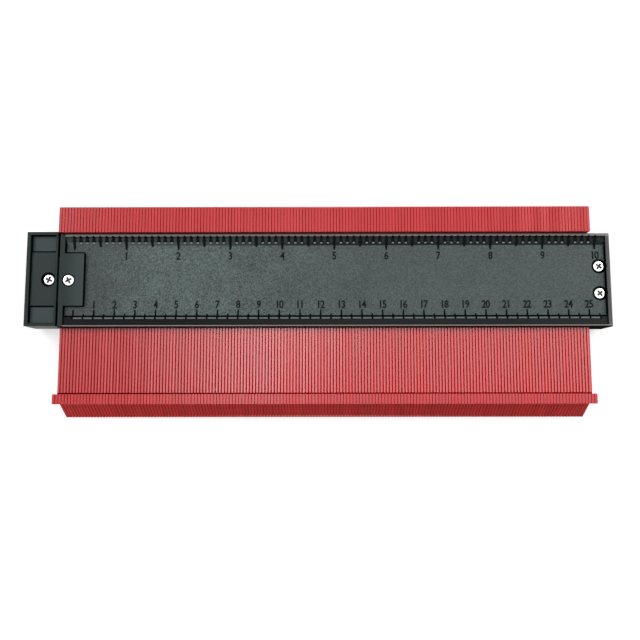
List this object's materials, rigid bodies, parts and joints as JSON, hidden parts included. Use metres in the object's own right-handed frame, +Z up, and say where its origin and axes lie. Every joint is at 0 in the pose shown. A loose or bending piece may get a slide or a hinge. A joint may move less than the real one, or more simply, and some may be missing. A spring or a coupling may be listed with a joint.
{
  "type": "contour gauge",
  "caption": "Flat contour gauge with a long row of thin leaves sliding between two ruled covers and a block at one end that squeezes the row.",
  "frame": {"origin": "middle of the whole gauge in plan, on the plane that the undersides of the leaves stand on", "axes": "+X along the row of leaves towards the end with two screws, +Y from the toes of the leaves to their tails, which is the way a leaf slides when pushed, +Z up out of the ruled front cover"},
  "size_m": [0.2836, 0.102, 0.02],
  "materials": {
    "black_plastic": "satin",
    "red_plastic": "satin",
    "plated_screws": "satin",
    "spring_steel": "satin",
    "friction_felt": "matte"
  },
  "bodies": {
    "frame": {"front_cover": "black_plastic", "back_cover": "black_plastic", "friction_strip_front_lower": "friction_felt", "friction_strip_front_upper": "friction_felt", "friction_strip_back_lower": "friction_felt", "friction_strip_back_upper": "friction_felt", "clamp_screw": "plated_screws", "end_screw_1": "plated_screws", "end_screw_2": "plated_screws"},
    "tension_block": {"tension_block_front": "black_plastic", "tension_block_back": "black_plastic", "block_screw": "plated_screws", "pressure_plate": "spring_steel"},
    "leaf_bank_01": {"leaf_bank_01": "red_plastic"},
    "leaf_bank_02": {"leaf_bank_02": "red_plastic"},
    "leaf_bank_03": {"leaf_bank_03": "red_plastic"},
    "leaf_bank_04": {"leaf_bank_04": "red_plastic"},
    "leaf_bank_05": {"leaf_bank_05": "red_plastic"},
    "leaf_bank_06": {"leaf_bank_06": "red_plastic"},
    "leaf_bank_07": {"leaf_bank_07": "red_plastic"},
    "leaf_bank_08": {"leaf_bank_08": "red_plastic"},
    "leaf_bank_09": {"leaf_bank_09": "red_plastic"},
    "leaf_bank_10": {"leaf_bank_10": "red_plastic"},
    "leaf_bank_11": {"leaf_bank_11": "red_plastic"},
    "leaf_bank_12": {"leaf_bank_12": "red_plastic"},
    "leaf_bank_13": {"leaf_bank_13": "red_plastic"},
    "leaf_bank_14": {"leaf_bank_14": "red_plastic"},
    "leaf_bank_15": {"leaf_bank_15": "red_plastic"},
    "leaf_bank_16": {"leaf_bank_16": "red_plastic"},
    "leaf_bank_17": {"leaf_bank_17": "red_plastic"},
    "leaf_bank_18": {"leaf_bank_18": "red_plastic"},
    "leaf_bank_19": {"leaf_bank_19": "red_plastic"},
    "leaf_bank_20": {"leaf_bank_20": "red_plastic"},
    "leaf_bank_21": {"leaf_bank_21": "red_plastic"},
    "leaf_bank_22": {"leaf_bank_22": "red_plastic"},
    "leaf_bank_23": {"leaf_bank_23": "red_plastic"},
    "leaf_bank_24": {"leaf_bank_24": "red_plastic"},
    "leaf_bank_25": {"leaf_bank_25": "red_plastic"},
    "leaf_bank_26": {"leaf_bank_26": "red_plastic"},
    "leaf_bank_27": {"leaf_bank_27": "red_plastic"},
    "leaf_bank_28": {"leaf_bank_28": "red_plastic"},
    "leaf_bank_29": {"leaf_bank_29": "red_plastic"},
    "leaf_bank_30": {"leaf_bank_30": "red_plastic"},
    "leaf_bank_31": {"leaf_bank_31": "red_plastic"},
    "leaf_bank_32": {"leaf_bank_32": "red_plastic"},
    "leaf_bank_33": {"leaf_bank_33": "red_plastic"},
    "leaf_bank_34": {"leaf_bank_34": "red_plastic"},
    "leaf_bank_35": {"leaf_bank_35": "red_plastic"},
    "leaf_bank_36": {"leaf_bank_36": "red_plastic"},
    "leaf_bank_37": {"leaf_bank_37": "red_plastic"},
    "leaf_bank_38": {"leaf_bank_38": "red_plastic"},
    "leaf_bank_39": {"leaf_bank_39": "red_plastic"},
    "leaf_bank_40": {"leaf_bank_40": "red_plastic"},
    "leaf_bank_41": {"leaf_bank_41": "red_plastic"},
    "leaf_bank_42": {"leaf_bank_42": "red_plastic"},
    "leaf_bank_43": {"leaf_bank_43": "red_plastic"}
  },
  "joints": [
    {"name": "tension_slide", "type": "slide", "parent": "frame", "child": "tension_block", "axis": [-1, 0, 0], "range_m": [0, 0.002]},
    {"name": "leaf_slide_01", "type": "slide", "parent": "frame", "child": "leaf_bank_01", "axis": [0, 1, 0], "range_m": [0, 0.0318]},
    {"name": "leaf_slide_02", "type": "slide", "parent": "frame", "child": "leaf_bank_02", "axis": [0, 1, 0], "range_m": [0, 0.0318]},
    {"name": "leaf_slide_03", "type": "slide", "parent": "frame", "child": "leaf_bank_03", "axis": [0, 1, 0], "range_m": [0, 0.0318]},
    {"name": "leaf_slide_04", "type": "slide", "parent": "frame", "child": "leaf_bank_04", "axis": [0, 1, 0], "range_m": [0, 0.0318]},
    {"name": "leaf_slide_05", "type": "slide", "parent": "frame", "child": "leaf_bank_05", "axis": [0, 1, 0], "range_m": [0, 0.0318]},
    {"name": "leaf_slide_06", "type": "slide", "parent": "frame", "child": "leaf_bank_06", "axis": [0, 1, 0], "range_m": [0, 0.0318]},
    {"name": "leaf_slide_07", "type": "slide", "parent": "frame", "child": "leaf_bank_07", "axis": [0, 1, 0], "range_m": [0, 0.0318]},
    {"name": "leaf_slide_08", "type": "slide", "parent": "frame", "child": "leaf_bank_08", "axis": [0, 1, 0], "range_m": [0, 0.0318]},
    {"name": "leaf_slide_09", "type": "slide", "parent": "frame", "child": "leaf_bank_09", "axis": [0, 1, 0], "range_m": [0, 0.0318]},
    {"name": "leaf_slide_10", "type": "slide", "parent": "frame", "child": "leaf_bank_10", "axis": [0, 1, 0], "range_m": [0, 0.0318]},
    {"name": "leaf_slide_11", "type": "slide", "parent": "frame", "child": "leaf_bank_11", "axis": [0, 1, 0], "range_m": [0, 0.0318]},
    {"name": "leaf_slide_12", "type": "slide", "parent": "frame", "child": "leaf_bank_12", "axis": [0, 1, 0], "range_m": [0, 0.0318]},
    {"name": "leaf_slide_13", "type": "slide", "parent": "frame", "child": "leaf_bank_13", "axis": [0, 1, 0], "range_m": [0, 0.0318]},
    {"name": "leaf_slide_14", "type": "slide", "parent": "frame", "child": "leaf_bank_14", "axis": [0, 1, 0], "range_m": [0, 0.0318]},
    {"name": "leaf_slide_15", "type": "slide", "parent": "frame", "child": "leaf_bank_15", "axis": [0, 1, 0], "range_m": [0, 0.0318]},
    {"name": "leaf_slide_16", "type": "slide", "parent": "frame", "child": "leaf_bank_16", "axis": [0, 1, 0], "range_m": [0, 0.0318]},
    {"name": "leaf_slide_17", "type": "slide", "parent": "frame", "child": "leaf_bank_17", "axis": [0, 1, 0], "range_m": [0, 0.0318]},
    {"name": "leaf_slide_18", "type": "slide", "parent": "frame", "child": "leaf_bank_18", "axis": [0, 1, 0], "range_m": [0, 0.0318]},
    {"name": "leaf_slide_19", "type": "slide", "parent": "frame", "child": "leaf_bank_19", "axis": [0, 1, 0], "range_m": [0, 0.0318]},
    {"name": "leaf_slide_20", "type": "slide", "parent": "frame", "child": "leaf_bank_20", "axis": [0, 1, 0], "range_m": [0, 0.0318]},
    {"name": "leaf_slide_21", "type": "slide", "parent": "frame", "child": "leaf_bank_21", "axis": [0, 1, 0], "range_m": [0, 0.0318]},
    {"name": "leaf_slide_22", "type": "slide", "parent": "frame", "child": "leaf_bank_22", "axis": [0, 1, 0], "range_m": [0, 0.0318]},
    {"name": "leaf_slide_23", "type": "slide", "parent": "frame", "child": "leaf_bank_23", "axis": [0, 1, 0], "range_m": [0, 0.0318]},
    {"name": "leaf_slide_24", "type": "slide", "parent": "frame", "child": "leaf_bank_24", "axis": [0, 1, 0], "range_m": [0, 0.0318]},
    {"name": "leaf_slide_25", "type": "slide", "parent": "frame", "child": "leaf_bank_25", "axis": [0, 1, 0], "range_m": [0, 0.0318]},
    {"name": "leaf_slide_26", "type": "slide", "parent": "frame", "child": "leaf_bank_26", "axis": [0, 1, 0], "range_m": [0, 0.0318]},
    {"name": "leaf_slide_27", "type": "slide", "parent": "frame", "child": "leaf_bank_27", "axis": [0, 1, 0], "range_m": [0, 0.0318]},
    {"name": "leaf_slide_28", "type": "slide", "parent": "frame", "child": "leaf_bank_28", "axis": [0, 1, 0], "range_m": [0, 0.0318]},
    {"name": "leaf_slide_29", "type": "slide", "parent": "frame", "child": "leaf_bank_29", "axis": [0, 1, 0], "range_m": [0, 0.0318]},
    {"name": "leaf_slide_30", "type": "slide", "parent": "frame", "child": "leaf_bank_30", "axis": [0, 1, 0], "range_m": [0, 0.0318]},
    {"name": "leaf_slide_31", "type": "slide", "parent": "frame", "child": "leaf_bank_31", "axis": [0, 1, 0], "range_m": [0, 0.0318]},
    {"name": "leaf_slide_32", "type": "slide", "parent": "frame", "child": "leaf_bank_32", "axis": [0, 1, 0], "range_m": [0, 0.0318]},
    {"name": "leaf_slide_33", "type": "slide", "parent": "frame", "child": "leaf_bank_33", "axis": [0, 1, 0], "range_m": [0, 0.0318]},
    {"name": "leaf_slide_34", "type": "slide", "parent": "frame", "child": "leaf_bank_34", "axis": [0, 1, 0], "range_m": [0, 0.0318]},
    {"name": "leaf_slide_35", "type": "slide", "parent": "frame", "child": "leaf_bank_35", "axis": [0, 1, 0], "range_m": [0, 0.0318]},
    {"name": "leaf_slide_36", "type": "slide", "parent": "frame", "child": "leaf_bank_36", "axis": [0, 1, 0], "range_m": [0, 0.0318]},
    {"name": "leaf_slide_37", "type": "slide", "parent": "frame", "child": "leaf_bank_37", "axis": [0, 1, 0], "range_m": [0, 0.0318]},
    {"name": "leaf_slide_38", "type": "slide", "parent": "frame", "child": "leaf_bank_38", "axis": [0, 1, 0], "range_m": [0, 0.0318]},
    {"name": "leaf_slide_39", "type": "slide", "parent": "frame", "child": "leaf_bank_39", "axis": [0, 1, 0], "range_m": [0, 0.0318]},
    {"name": "leaf_slide_40", "type": "slide", "parent": "frame", "child": "leaf_bank_40", "axis": [0, 1, 0], "range_m": [0, 0.0318]},
    {"name": "leaf_slide_41", "type": "slide", "parent": "frame", "child": "leaf_bank_41", "axis": [0, 1, 0], "range_m": [0, 0.0318]},
    {"name": "leaf_slide_42", "type": "slide", "parent": "frame", "child": "leaf_bank_42", "axis": [0, 1, 0], "range_m": [0, 0.0318]},
    {"name": "leaf_slide_43", "type": "slide", "parent": "frame", "child": "leaf_bank_43", "axis": [0, 1, 0], "range_m": [0, 0.0318]}
  ]
}
